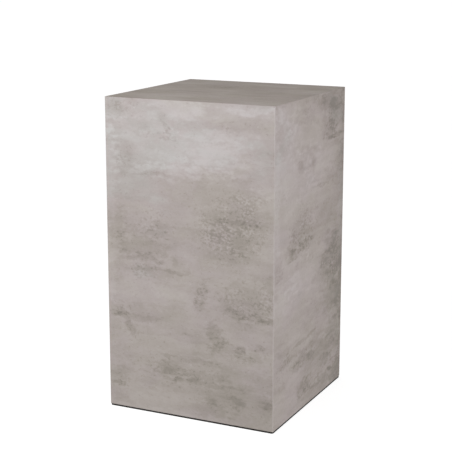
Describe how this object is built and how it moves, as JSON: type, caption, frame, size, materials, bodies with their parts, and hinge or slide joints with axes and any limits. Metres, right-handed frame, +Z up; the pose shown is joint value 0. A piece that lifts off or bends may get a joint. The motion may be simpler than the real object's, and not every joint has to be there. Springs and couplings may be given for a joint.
{
  "type": "plinth",
  "caption": "Square display plinth: a hollow mitred box in a grey concrete-look finish, open below, on thin dark base strips.",
  "frame": {"origin": "on the floor, under the middle of the plinth", "axes": "+Z up, -Y out of the front face, +X to the right seen from the front"},
  "size_m": [0.4, 0.4, 0.7],
  "materials": {
    "concrete_look": "satin concrete-look surface on 18 mm board",
    "base_strip": "matt black rubber strip"
  },
  "bodies": {
    "root": {"front_panel": "concrete_look", "right_panel": "concrete_look", "back_panel": "concrete_look", "left_panel": "concrete_look", "top_panel": "concrete_look", "front_strip": "base_strip", "right_strip": "base_strip", "back_strip": "base_strip", "left_strip": "base_strip"}
  },
  "joints": []
}
